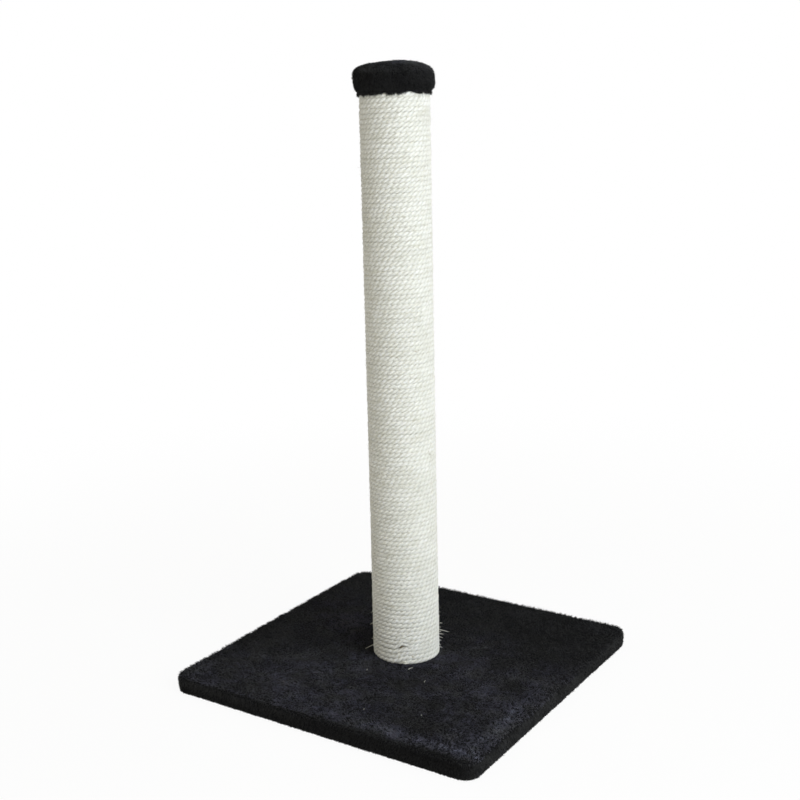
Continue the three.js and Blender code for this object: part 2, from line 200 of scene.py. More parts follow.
studio = {
    "floorHalf": 9.0, "floorColor": "#F4F4F3",
    # share of plain white that the floor shows near the post, and the radii in m between which it grows
    "floorGlow": 0.93, "glowFrom": 0.35, "glowTo": 1.6,
    "ambient": 0.455, "ambientColor": "#FFFAEC",
    # name: power in W, colour, size in m, degrees round and above that it comes from, distance
    "lamps": {
        "key_softbox": (75, "#EDF5FE", 1.95, -13, 27, 3.0),
        "front_softbox": (5, "#F6F8FF", 1.6, -70, 20, 2.4),
    },
    "aim": (0, 0, 0.38),
}


def backdropRays(tree):
    # camera, glossy and transmitted rays, which all show the background
    path = addNode(tree, "ShaderNodeLightPath")
    seen = addNode(tree, "ShaderNodeMath", {
        0: path.outputs["Is Camera Ray"], 1: path.outputs["Is Glossy Ray"]}, operation="MAXIMUM")
    return addNode(tree, "ShaderNodeMath", {
        0: seen.outputs[0], 1: path.outputs["Is Transmission Ray"]}, operation="MAXIMUM").outputs[0]


def makeFloor():
    # painted paper sweep: matt and pale, so the floor keeps only a faint shadow
    material = bpy.data.materials.new("white_paper_sweep")
    material.use_nodes = True
    tree = material.node_tree
    tree.nodes.clear()
    matt = addNode(tree, "ShaderNodeBsdfDiffuse", {"Color": linearColor(studio["floorColor"])})
    glow = addNode(tree, "ShaderNodeEmission", {"Strength": 1.0})
    away = addNode(tree, "ShaderNodeVectorMath", {0: objectPlace(tree)}, operation="LENGTH").outputs["Value"]
    glowing = addNode(tree, "ShaderNodeMapRange", {
        "Value": away, "From Min": studio["glowFrom"], "From Max": studio["glowTo"],
        "To Min": studio["floorGlow"], "To Max": 1.0}, interpolation_type="SMOOTHSTEP").outputs["Result"]
    share = addNode(tree, "ShaderNodeMath", {0: backdropRays(tree), 1: glowing}, operation="MULTIPLY")
    mix = addNode(tree, "ShaderNodeMixShader", {
        0: share.outputs[0], 1: matt.outputs[0], 2: glow.outputs[0]})
    addNode(tree, "ShaderNodeOutputMaterial", {"Surface": mix.outputs[0]})
    sweep = bmesh.new()
    bmesh.ops.create_grid(sweep, x_segments=2, y_segments=2, size=studio["floorHalf"])
    mesh = bpy.data.meshes.new("floor")
    sweep.to_mesh(mesh)
    sweep.free()
    mesh.materials.append(material)
    floor = bpy.data.objects.new("floor", mesh)
    bpy.context.scene.collection.objects.link(floor)


def makeWalls():
    # plain white where they are seen, and a softer light where they only light the post
    world = bpy.data.worlds.new("studio_walls")
    bpy.context.scene.world = world
    world.use_nodes = True
    tree = world.node_tree
    tree.nodes.clear()
    walls = addNode(tree, "ShaderNodeBackground", {
        "Color": linearColor(studio["ambientColor"]), "Strength": studio["ambient"]})
    white = addNode(tree, "ShaderNodeBackground", {"Color": (1, 1, 1, 1), "Strength": 1.0})
    mix = addNode(tree, "ShaderNodeMixShader", {
        0: backdropRays(tree), 1: walls.outputs[0], 2: white.outputs[0]})
    addNode(tree, "ShaderNodeOutputWorld", {"Surface": mix.outputs[0]})


def makeLamps():
    aim = Vector(studio["aim"])
    for name, (power, color, size, azimuth, elevation, distance) in studio["lamps"].items():
        data = bpy.data.lights.new(name, "AREA")
        data.energy = power
        data.color = linearColor(color)[:3]
        data.size = size
        lamp = bpy.data.objects.new(name, data)
        bpy.context.scene.collection.objects.link(lamp)
        a, e = math.radians(azimuth), math.radians(elevation)
        outward = Vector((math.cos(a) * math.cos(e), math.sin(a) * math.cos(e), math.sin(e)))
        lamp.rotation_mode = "QUATERNION"
        lamp.rotation_quaternion = outward.to_track_quat("Z", "Y")
        lamp.location = aim + outward * distance


makeCamera()
makeFloor()
makeWalls()
makeLamps()
bpy.context.scene.view_settings.view_transform = "Standard"
print("camera, floor and lamps placed")


def plushPileMaterial():
    # polyester plush, dyed black: matt fibres, with light and shade painted into the colour through the
    # sheen attribute
    material, tree, shader = newMaterial("black_plush_pile", {
        "Roughness": 0.75, "IOR": 1.5, "Specular IOR Level": 0.06,
        "Sheen Weight": 0.04, "Sheen Roughness": 0.6})
    sheen = meshValue(tree, "sheen")
    # painted sheen: blue-grey only where the pile would catch the light
    cool = rampColor(tree, sheen, [
        (0.0, "#080808"), (0.27, "#373738"), (0.45, "#474650"), (0.8, "#6D6D7B"), (1.0, "#989BAD")])
    warm = rampColor(tree, sheen, [
        (0.0, "#080808"), (0.27, "#383837"), (0.45, "#474748"), (0.8, "#67676B"), (1.0, "#888A93")])
    # the painted sheen is bluer over some patches of about 30 mm and greyer over others
    sheenTint = noiseValue(tree, objectPlace(tree), 33.0, 3.0, 0.6)
    tips = mixColor(tree, rangeValue(tree, sheenTint, 0.4, 0.6), warm, cool)
    # painted shade down towards the roots of the tufts
    height = rangeValue(tree, meshValue(tree, "tip"), 0.0, 1.0, low=0.55)
    setColor(tree, shader, mixColor(tree, height, linearColor("#0B0B0C"), tips))
    return material


def plushBackingMaterial():
    # knitted backing of the plush, nearly hidden: dull black with ribs and fine fluff
    material, tree, shader = newMaterial("black_knit_backing", {
        "Roughness": 0.95, "Specular IOR Level": 0.1})
    place = objectPlace(tree)
    fluff = noiseValue(tree, place, 500.0, 3.0)
    setColor(tree, shader, rampColor(tree, fluff, [(0.3, "#0B0B0C"), (0.7, "#19191B")]))
    ribs = addNode(tree, "ShaderNodeTexWave", {
        "Vector": place, "Scale": 26.0, "Distortion": 2.0, "Detail": 2.0}, bands_direction="DIAGONAL")
    setBump(tree, shader, ribs.outputs["Fac"], 0.4, 0.4 * mm)
    return material


def sisalMaterial():
    # bleached sisal: hard leaf fibre spun into strands, pale and streaky, with a soft shine
    material, tree, shader = newMaterial("bleached_sisal", {
        "Roughness": 0.62, "IOR": 1.5, "Specular IOR Level": 0.35,
        "Subsurface Weight": 0.3, "Subsurface Radius": (1.0, 0.95, 0.8), "Subsurface Scale": 0.0015})
    fibre = meshValue(tree, "fibre", "Vector")
    # fibres 0.3 mm wide, drawn about 0.8 mm wide so that they show
    streak = noiseValue(tree, fibre, 2.2, 4.0, 0.65)
    pale = rampColor(tree, streak, [
        (0.25, "#CECCC0"), (0.42, "#E6E5DD"), (0.6, "#F2F2EE"), (0.8, "#FBFBF9")])
    grey = rampColor(tree, streak, [
        (0.25, "#C3C1B5"), (0.42, "#DDDCD3"), (0.6, "#ECECE6"), (0.8, "#F7F7F3")])
    # the bleach takes unevenly over patches of about 24 mm
    bleach = noiseValue(tree, objectPlace(tree), 42.0, 2.0)
    body = mixColor(tree, rangeValue(tree, bleach, 0.38, 0.62), pale, grey)
    # a few brown slivers of leaf that the bleach missed
    sliver = rangeValue(tree, noiseValue(tree, fibre, 0.55, 1.0), 0.755, 0.79, high=0.75)
    flecked = mixColor(tree, sliver, body, linearColor("#85745A"))
    # painted shade down in the lay
    hollow = rangeValue(tree, meshValue(tree, "depth"), 0.6, 0.97, low=0.9, high=0.0)
    setColor(tree, shader, mixColor(tree, hollow, flecked, linearColor("#C9C7BB")))
    setBump(tree, shader, streak, 0.7, 0.5 * mm)
    return material


def looseFibreMaterial():
    # single sisal fibres: smoother and paler than the spun rope
    material, tree, shader = newMaterial("loose_sisal_fibre", {
        "Roughness": 0.5, "Specular IOR Level": 0.4})
    tone = noiseValue(tree, objectPlace(tree), 90.0, 1.0)
    setColor(tree, shader, rampColor(tree, tone, [(0.3, "#CFCBB9"), (0.55, "#EAE8DC"), (0.75, "#F7F6F0")]))
    return material


def chipboardMaterial():
    # raw chipboard: pressed flakes about 5 mm long in several browns
    material, tree, shader = newMaterial("raw_chipboard", {
        "Roughness": 0.85, "Specular IOR Level": 0.3})
    place = objectPlace(tree)
    flakes = addNode(tree, "ShaderNodeTexVoronoi", {
        "Vector": place, "Scale": 210.0, "Randomness": 1.0}, feature="F1")
    hue = addNode(tree, "ShaderNodeSeparateColor", {0: flakes.outputs["Color"]}).outputs[0]
    browns = rampColor(tree, hue, [
        (0.0, "#8E6F48"), (0.35, "#B08F62"), (0.7, "#C4A678"), (1.0, "#D6BD92")])
    dust = noiseValue(tree, place, 900.0, 4.0)
    setColor(tree, shader, mixColor(tree, dust, browns, linearColor("#B3946A")))
    setBump(tree, shader, flakes.outputs["Distance"], 0.5, 0.4 * mm)
    return material


def paperboardMaterial():
    # spiral-wound kraft tube: brown paper with short fibres and slanting seams
    material, tree, shader = newMaterial("kraft_paperboard", {
        "Roughness": 0.8, "Specular IOR Level": 0.3})
    place = objectPlace(tree)
    paper = noiseValue(tree, place, 300.0, 5.0)
    setColor(tree, shader, rampColor(tree, paper, [(0.3, "#8D7554"), (0.6, "#A98F6B"), (0.8, "#BCA37F")]))
    slanted = addNode(tree, "ShaderNodeMapping", {"Vector": place, "Rotation": (math.radians(35), 0, 0)})
    seams = addNode(tree, "ShaderNodeTexWave", {
        "Vector": slanted.outputs[0], "Scale": 3.5}, bands_direction="Z")
    setBump(tree, shader, seams.outputs["Fac"], 0.15, 0.5 * mm)
    return material


def pineMaterial():
    # turned pine plug: growth rings round a centre off to one side
    material, tree, shader = newMaterial("turned_pine", {
        "Roughness": 0.6, "Specular IOR Level": 0.4})
    offCentre = addNode(tree, "ShaderNodeMapping", {
        "Vector": objectPlace(tree), "Location": (0.03, 0.02, 0)}).outputs[0]
    rings = addNode(tree, "ShaderNodeTexWave", {
        "Vector": offCentre, "Scale": 52.0, "Distortion": 1.5, "Detail": 2.0},
        wave_type="RINGS", rings_direction="Z").outputs["Fac"]
    setColor(tree, shader, rampColor(tree, rings, [(0.0, "#E0C493"), (0.6, "#D2B07A"), (1.0, "#B48A52")]))
    return material


def zincMaterial():
    # zinc-plated steel: bright grey with a faint cloudy plating
    material, tree, shader = newMaterial("zinc_plated_steel", {"Metallic": 1.0, "Roughness": 0.38})
    cloud = noiseValue(tree, objectPlace(tree), 260.0, 3.0)
    setColor(tree, shader, rampColor(tree, cloud, [(0.35, "#AEB1B6"), (0.65, "#C6C9CC")]))
    tree.links.new(rangeValue(tree, cloud, 0.3, 0.7, 0.3, 0.48), shader.inputs["Roughness"])
    return material


def waddingMaterial():
    # polyester wadding: white crimped fibres, matt and lumpy
    material, tree, shader = newMaterial("polyester_wadding", {
        "Roughness": 0.95, "Specular IOR Level": 0.2})
    lumps = noiseValue(tree, objectPlace(tree), 220.0, 6.0)
    setColor(tree, shader, rampColor(tree, lumps, [(0.3, "#DADAD5"), (0.7, "#F3F3F0")]))
    setBump(tree, shader, lumps, 0.6, 1.5 * mm)
    return material


plushPile = plushPileMaterial()
plushBacking = plushBackingMaterial()
sisal = sisalMaterial()
looseFibre = looseFibreMaterial()
chipboard = chipboardMaterial()
paperboard = paperboardMaterial()
pine = pineMaterial()
zinc = zincMaterial()
wadding = waddingMaterial()
print("materials made")


# what the pile of the base and of the cap share; sizes in mm, angles in degrees
pile = {
    "floorGap": 0.15,  # no tuft reaches lower
    "wideSwirl": 45, "narrowSwirl": 9,
    "leanPatch": 14, "leanByPatch": 11, "leanAtRandom": 7,
    "sheen": 0.42, "sheenPatches": ((70, 0.16), (22, 0.17), (7, 0.14)), "sheenAtRandom": 0.06,
}


def tuftShape():
    # one tuft of pile: a slim three-sided cone, 1 high and 1 across at the root
    shape = bmesh.new()
    bmesh.ops.create_cone(shape, cap_ends=True, segments=3, radius1=0.5, radius2=0, depth=1)
    bmesh.ops.remove_doubles(shape, verts=shape.verts[:], dist=1e-4)
    bmesh.ops.translate(shape, verts=shape.verts[:], vec=(0, 0, 0.5))
    bmesh.ops.triangulate(shape, faces=shape.faces[:])
    bmesh.ops.recalc_face_normals(shape, faces=shape.faces[:])
    shape.verts.ensure_lookup_table()
    points = np.array([v.co[:] for v in shape.verts])
    faces = np.array([[v.index for v in f.verts] for f in shape.faces])
    shape.free()
    return points, faces


tuftPoints, tuftFaces = tuftShape()


def meshFromArrays(name, points, faces):
    # thousands of copies of one small bmesh shape, written in one go
    mesh = bpy.data.meshes.new(name)
    mesh.vertices.add(len(points))
    mesh.vertices.foreach_set("co", points.astype(np.float32).ravel())
    mesh.loops.add(faces.size)
    mesh.loops.foreach_set("vertex_index", faces.astype(np.int32).ravel())
    mesh.polygons.add(len(faces))
    mesh.polygons.foreach_set("loop_start", np.arange(0, faces.size, faces.shape[1], dtype=np.int32))
    mesh.update(calc_edges=True)
    return mesh


def growPile(name, node, tufts):
    # one mesh of many tufts, each at its root, leaning its own way
    roots, directions = tufts["roots"], tufts["directions"]
    count = len(roots)
    rng = np.random.default_rng(count)
    across = unit(np.cross(directions, rng.normal(size=(count, 3))))
    other = np.cross(directions, across)
    shape = tuftPoints[None, :, :]
    width = tufts["widths"][:, None, None]
    length = tufts["lengths"][:, None, None]
    points = (roots[:, None, :] + shape[..., 0:1] * width * across[:, None, :]
              + shape[..., 1:2] * width * other[:, None, :]
              + shape[..., 2:3] * length * directions[:, None, :])
    points = points.reshape(-1, 3)
    points[:, 2] = np.maximum(points[:, 2], pile["floorGap"] * mm)
    faces = tuftFaces[None, :, :] + (np.arange(count) * len(tuftPoints))[:, None, None]
    mesh = meshFromArrays(name, points, faces.reshape(-1, 3))
    tip = mesh.attributes.new("tip", "FLOAT", "POINT")
    tip.data.foreach_set("value", np.tile(tuftPoints[:, 2], count))
    sheen = mesh.attributes.new("sheen", "FLOAT", "POINT")
    sheen.data.foreach_set("value", np.repeat(tufts["sheen"], len(tuftPoints)))
    return placePiece(name, mesh, plushPile, [node])


def rootsOn(mesh, count, keep, rng):
    # even random roots, with smooth normals, on the faces that keep picks by their normals
    mesh.calc_loop_triangles()
    corners = np.array([t.vertices[:] for t in mesh.loop_triangles])
    co = np.array([v.co[:] for v in mesh.vertices])
    normals = np.array([v.normal[:] for v in mesh.vertices])
    a, b, c = co[corners[:, 0]], co[corners[:, 1]], co[corners[:, 2]]
    cross = np.cross(b - a, c - a)
    area = np.where(keep(unit(cross)), np.linalg.norm(cross, axis=1) / 2, 0)
    chosen = rng.choice(len(corners), count, p=area / area.sum())
    u, v = rng.random(count), rng.random(count)
    over = u + v > 1
    u[over], v[over] = 1 - u[over], 1 - v[over]
    weights = np.stack([1 - u - v, u, v], axis=1)[:, :, None]
    picked = corners[chosen]
    return (co[picked] * weights).sum(1), unit((normals[picked] * weights).sum(1))


def leanPile(roots, normals, nap, lean, swirl, rng, wobble=1):
    # tufts lie over along the nap, swirled by wide patches, by narrow ones and at random
    along = unit(nap - (nap * normals).sum(1, keepdims=True) * normals)
    side = np.cross(normals, along)
    wide = patchNoise(roots, pile["wideSwirl"] * mm, 1)
    narrow = patchNoise(roots, pile["narrowSwirl"] * mm, 2)
    turn = swirl[0] * wide + swirl[1] * narrow + swirl[2] * rng.normal(size=len(roots))
    over = np.cos(turn)[:, None] * along + np.sin(turn)[:, None] * side
    uneven = pile["leanByPatch"] * patchNoise(roots, pile["leanPatch"] * mm, 3)
    uneven = uneven + pile["leanAtRandom"] * rng.normal(size=len(roots))
    tilt = np.radians(lean + wobble * uneven)
    return unit(np.cos(tilt)[:, None] * normals + np.sin(tilt)[:, None] * over)


def sheenOf(roots, rng, boost, contrast=1):
    uneven = 0
    for seed, (size, share) in enumerate(pile["sheenPatches"], 5):
        uneven = uneven + share * patchNoise(roots, size * mm, seed)
    uneven = uneven + pile["sheenAtRandom"] * rng.normal(size=len(roots))
    return np.clip(pile["sheen"] + contrast * uneven + boost, 0, 1)


def clothPiece(name, shape, thickness, node):
    # the knitted backing of a cover, with its thickness inwards
    bmesh.ops.recalc_face_normals(shape, faces=shape.faces[:])
    mesh = bpy.data.meshes.new(name)
    shape.to_mesh(mesh)
    shape.free()
    mesh.shade_smooth()
    piece = placePiece(name, mesh, plushBacking, [node])
    wall = piece.modifiers.new("cloth", "SOLIDIFY")
    wall.thickness = thickness * mm
    wall.offset = -1
    return piece


# plush stretched over the board and turned in underneath; sizes in mm
baseCover = {
    "halfSide": 223.9, "cornerRadius": 19.5, "bottom": 0.9, "top": 22.0,
    "topRounding": 3.2, "bottomRounding": 1.8, "cornerSteps": 7, "roundingSteps": 3,
    "window": 180.5, "gridStep": 8, "cloth": 0.9,
    "slack": 0.3, "wideRipples": 16, "fineRipples": 55,  # ripples per metre
    "flat": (0.576, 0.576),
}
basePile = {
    "top": 98000, "side": 26000, "hem": 9000,
    "spare": 4000,  # roots on top that fall inside the foot of the post
    "topFrom": 0.6, "hemFrom": -0.75,  # normals that are more upright belong to the top and the hem
    "length": 4.7, "width": 1.0, "lean": 61, "swirl": (1.2, 0.9, 0.3), "nap": (0.35, -0.94, 0.0),
    "footRadius": 44.2, "standReach": 4, "stand": 36,  # it stands up against the foot of the post
    "backEdge": 12, "backLift": 11, "backCalm": 0.65,  # an even edge where the outline shows at the back
    "sideSwirl": (0.7, 0.6, 0.25), "hemSwirl": (1.4, 0.8, 0.3), "hemLean": 84,
}
# light and shade painted into the sheen of the pile, in mm across and along the base from its middle
baseLight = {
    # painted highlight bands along both edges by the front corner: middle, width and where they grow
    "toCorner": (-120, 80), "frontMiddle": (12, 9), "frontWidth": 13, "frontGrows": (-60, 170),
    "rightMiddle": 16, "rightWidth": 17, "rightGrows": (90, -110), "bandSheen": 0.38, "bandLift": 16,
    "edgeShade": (1, 3, 9), "edgeShadeDepth": 0.8,  # painted shade where the pile turns over the front-left edge
    # painted shade: away from the camera the sheen is darker and more even, further forward to both sides
    "awayShade": (-100, 5), "awayShadeRight": (60, 210, 120), "awayShadeLeft": (-60, -140, 40),
    "awayShadeEven": 0.55, "awayShadeDark": 0.46,
    # painted light patches, two of them over the post's shadow on the left: across, along, radius, added
    # sheen
    "patches": ((-170, 62, 70, 0.21), (-115, 32, 38, 0.32), (-12, -181, 42, 0.19), (194, -62, 34, 0.16)),
    # the sides: painted shade on the front-left one and towards the back of the front-right one, and a
    # painted highlight along the upper edge of the front-left one towards the left corner
    "sideSheen": 0.1, "sideLitSheen": 0.58, "overEdgeSheen": 0.5,
    "sideFades": (-20, 150), "sideFade": 0.55, "overEdge": (8, 20), "overEdgeGrows": (60, -120),
}


def roundEdges(shape, edges, offset, steps):
    bmesh.ops.bevel(shape, geom=edges, offset=offset * mm, segments=steps,
                    profile=0.5, affect="EDGES", material=-1)


def makeBaseCover():
    side = baseCover["halfSide"] * mm
    low, high = baseCover["bottom"] * mm, baseCover["top"] * mm
    cover = bmesh.new()
    bmesh.ops.create_cube(cover, size=1)
    bmesh.ops.scale(cover, verts=cover.verts[:], vec=(2 * side, 2 * side, high - low))
    bmesh.ops.translate(cover, verts=cover.verts[:], vec=(0, 0, (high + low) / 2))
    upright = [e for e in cover.edges if abs(e.verts[0].co.z - e.verts[1].co.z) > 10 * mm]
    roundEdges(cover, upright, baseCover["cornerRadius"], baseCover["cornerSteps"])
    for level, rounding in ((high, "topRounding"), (low, "bottomRounding")):
        rim = [e for e in cover.edges if all(abs(v.co.z - level) < 1e-6 for v in e.verts)]
        roundEdges(cover, rim, baseCover[rounding], baseCover["roundingSteps"])
    # a grid of cuts, so that the cloth can ripple
    step, window = baseCover["gridStep"] * mm, baseCover["window"] * mm
    outmost = int(baseCover["halfSide"] // baseCover["gridStep"])
    cuts = [i * step for i in range(-outmost, outmost + 1)] + [-window, window]
    for axis in (0, 1):
        for cut in cuts:
            place, normal = [0, 0, 0], [0, 0, 0]
            place[axis], normal[axis] = cut, 1
            bmesh.ops.bisect_plane(cover, geom=cover.verts[:] + cover.edges[:] + cover.faces[:],
                                   plane_co=place, plane_no=normal, dist=1e-6)
    # the window underneath, where the board shows inside the hem
    inside = []
    for f in cover.faces:
        middle = f.calc_center_median()
        if f.normal.z < -0.9 and abs(middle.x) < window and abs(middle.y) < window:
            inside.append(f)
    bmesh.ops.delete(cover, geom=inside, context="FACES")
    slack = baseCover["slack"] * mm
    for v in cover.verts:
        wide = noise.noise(v.co * baseCover["wideRipples"] + Vector((3.1, 1.7, 0)))
        fine = noise.noise(v.co * baseCover["fineRipples"] + Vector((9.4, 2.2, 0)))
        out = Vector((v.co.x, v.co.y, 0)).normalized()
        if v.co.z > high - 0.5 * mm:
            v.co.z += slack * (0.7 * wide + 0.5 * fine)
        elif v.co.z > 4 * mm:
            v.co += out * slack * (wide + 0.6 * fine)
    return clothPiece("base_cover_cloth", cover, baseCover["cloth"], "base_plush")


def edgeBands(roots):
    # how far a root is in the painted highlight bands, and how deep the painted shade is where the pile
    # turns over the edge
    across, along = roots[:, 0] / mm, roots[:, 1] / mm
    front = baseCover["halfSide"] + along  # distance in from the front-left edge
    right = baseCover["halfSide"] - across  # distance in from the front-right edge
    toCorner = smoothStep(*baseLight["toCorner"], across)
    least, more = baseLight["frontMiddle"]
    frontBand = bell(front - least - more * toCorner, baseLight["frontWidth"])
    frontBand = frontBand * smoothStep(*baseLight["frontGrows"], across)
    rightBand = bell(right - baseLight["rightMiddle"], baseLight["rightWidth"])
    rightBand = rightBand * smoothStep(*baseLight["rightGrows"], along)
    start, least, more = baseLight["edgeShade"]
    return np.maximum(frontBand, rightBand), 1 - smoothStep(start, least + more * toCorner, front)


# how much painted shade a root gets, away from the camera
def awayShadeShare(roots):
    across = roots[:, 0] / mm
    forward = roots @ towardsCamera / mm
    for start, end, shift in (baseLight["awayShadeRight"], baseLight["awayShadeLeft"]):
        forward = forward - shift * smoothStep(start, end, across)
    return 1 - smoothStep(*baseLight["awayShade"], forward)


def patchSheen(roots):
    added = 0
    for across, along, radius, more in baseLight["patches"]:
        added = added + more * bell(np.hypot(roots[:, 0] / mm - across, roots[:, 1] / mm - along), radius)
    return added


def growBaseTop(mesh, rng):
    roots, normals = rootsOn(
        mesh, basePile["top"] + basePile["spare"], lambda n: n[:, 2] > basePile["topFrom"], rng)
    beside = np.hypot(roots[:, 0], roots[:, 1]) - basePile["footRadius"] * mm
    roots, normals, beside = (values[beside > 0][:basePile["top"]] for values in (roots, normals, beside))
    count = len(roots)
    bands, edgeShade = edgeBands(roots)
    awayShade = awayShadeShare(roots)
    standing = bell(beside, basePile["standReach"] * mm)
    standing = standing * smoothStep(-0.1, 0.7, unit(roots * (1, 1, 0)) @ leftward)  # most on the left
    fromBack = baseCover["halfSide"] * mm - np.maximum(roots[:, 1], -roots[:, 0])
    backEdge = bell(fromBack, basePile["backEdge"] * mm)
    naps = normals[:, 2:3] * np.array(basePile["nap"]) + (1 - normals[:, 2:3]) * down
    lean = basePile["lean"] - baseLight["bandLift"] * bands - basePile["stand"] * standing
    lean = lean - basePile["backLift"] * backEdge
    wobble = 1 - basePile["backCalm"] * backEdge
    directions = leanPile(roots, normals, naps, lean, basePile["swirl"], rng, wobble)
    # painted light and shade in the sheen: highlight bands, shade away from the camera and on the turned
    # edge, light patches
    sheen = sheenOf(roots, rng, 0.03 + baseLight["bandSheen"] * bands, 1 - baseLight["awayShadeEven"] * awayShade)
    sheen = sheen * (1 - baseLight["awayShadeDark"] * awayShade) + patchSheen(roots)
    tufts = {
        "roots": roots, "directions": directions,
        "sheen": np.clip(sheen * (1 - baseLight["edgeShadeDepth"] * edgeShade), 0, 1),
        "lengths": basePile["length"] * mm * varied(rng, count, 0.12),
        "widths": basePile["width"] * mm * varied(rng, count, 0.2),
    }
    # in two halves, so that neither piece is too heavy
    halves = {"base_pile_top_a": slice(0, count // 2), "base_pile_top_b": slice(count // 2, None)}
    for name, part in halves.items():
        growPile(name, "base_plush", {key: values[part] for key, values in tufts.items()})
    print("base pile on top:", count, "tufts")


def growBaseSides(mesh, rng):
    # the pile hangs, shorter towards the floor
    roots, normals = rootsOn(
        mesh, basePile["side"],
        lambda n: (n[:, 2] <= basePile["topFrom"]) & (n[:, 2] > basePile["hemFrom"]), rng)
    count = len(roots)
    naps = np.tile(down, (count, 1)) + 0.25 * np.array((-0.8, 0.6, 0))
    sideLit = smoothStep(0.1, 0.9, np.maximum(np.abs(normals[:, 0]), normals[:, 1]))  # painted light by which way a side faces, least on the -Y side
    sideLit = sideLit * (1 - baseLight["sideFade"] * smoothStep(*baseLight["sideFades"], roots[:, 1] / mm))
    above = smoothStep(0.5, 8, roots[:, 2] / mm)
    overEdge = smoothStep(*baseLight["overEdge"], roots[:, 2] / mm)
    overEdge = overEdge * smoothStep(*baseLight["overEdgeGrows"], roots[:, 0] / mm) * (1 - sideLit)
    lean = basePile["lean"] + 4 + 15 * (1 - above)
    directions = leanPile(roots, normals, naps, lean, basePile["sideSwirl"], rng)
    lengths = basePile["length"] * mm * (0.48 + 0.47 * above) * varied(rng, count, 0.08)
    widths = basePile["width"] * mm * varied(rng, count, 0.2)
    # painted light and shade on the sides, carried by their sheen
    light = (baseLight["sideSheen"] + baseLight["sideLitSheen"] * sideLit
             + baseLight["overEdgeSheen"] * overEdge)
    growPile("base_pile_side", "base_plush", {
        "roots": roots, "directions": directions, "lengths": lengths, "widths": widths,
        "sheen": sheenOf(roots, rng, -0.1) * light})


def growBaseHem(mesh, rng):
    # pressed flat by the weight of the post
    roots, normals = rootsOn(mesh, basePile["hem"], lambda n: n[:, 2] <= basePile["hemFrom"], rng)
    count = len(roots)
    naps = np.tile((0.9, 0.4, 0.0), (count, 1))
    directions = leanPile(roots, normals, naps, basePile["hemLean"], basePile["hemSwirl"], rng)
    directions[:, 2] = np.clip(directions[:, 2], -0.16, -0.02)
    # painted shade underneath: less sheen than on top
    growPile("base_pile_hem", "base_plush", {
        "roots": roots, "directions": unit(directions),
        "lengths": 0.8 * basePile["length"] * mm * varied(rng, count, 0.2),
        "widths": 0.8 * basePile["width"] * mm * varied(rng, count, 0.2),
        "sheen": sheenOf(roots, rng, -0.15)})


baseCoverPiece = makeBaseCover()
baseRandom = np.random.default_rng(21)
growBaseTop(baseCoverPiece.data, baseRandom)
growBaseSides(baseCoverPiece.data, baseRandom)
growBaseHem(baseCoverPiece.data, baseRandom)
print("base covered")


# three strands laid up to the right, wound turn on turn up the tube; sizes in mm
rope = {
    "foot": 22.8, "top": 763.8, "turns": 123.5, "startAngle": -56,
    "coilRadius": 40.95, "strandRadius": 1.95, "strandOffset": 1.5,
    "press": 1.36,  # the turns squeeze each other this much fuller than they would lie alone
    "lay": 20.5, "stepsPerLay": 10,
    "stepTurns": 5, "stepShare": 0.085,  # turns at each end that lie level and step up by the rope's end
    "tuckTurns": 0.075, "tuckThin": 0.35,  # the cut end, teased out and laid under the first step
    # neighbours waver together, so the turns stay pressed against each other
    "waver": 0.42, "waverRound": 1.3, "waverUp": 0.16, "wander": 0.09, "wanderLength": 150,
    "lift": 0.22, "liftLength": 55, "swell": 0.6, "swellHeight": 260,
    # where one turn stands off the one below it: turns passed and share of the lift
    "slitTurn": 3.977, "slit": 4.4, "slitEase": 0.5, "slitLength": 0.018,
    "slitLifts": ((-1, 0), (0, 1), (1, 0.75), (2, 0.5), (3, 0.25)),
}
strand = {
    "sides": 6, "endTaper": (0.62, 0.85, 0.97),
    "layDrift": 0.5, "layLength": 160, "offsetDrift": 0.08, "offsetLength": 25,
    "swell": 0.07, "swellLength": 18,
    # the fibres twist back against the lay, so they run nearly level on the rope
    "fibreTwist": 20, "fibreLength": 5.5, "fibreRound": 1.6,
}


def woundLevel(turn):
    # how many pitches up the rope is, level by level near both ends and evenly in between
    def stepped(t):
        part = t - np.floor(t)
        return np.floor(t) + smoothStep(1 - rope["stepShare"], 1, part)
    turns, steps = rope["turns"], rope["stepTurns"]
    foot = stepped(turn)
    head = turns - 1 - stepped(turns - turn)
    even = turn - 0.5
    atFoot = 1 - smoothStep(0.4 * steps, steps, turn)
    atHead = smoothStep(turns - steps, turns - 0.4 * steps, turn)
    return even + atFoot * (foot - even) + atHead * (head - even)


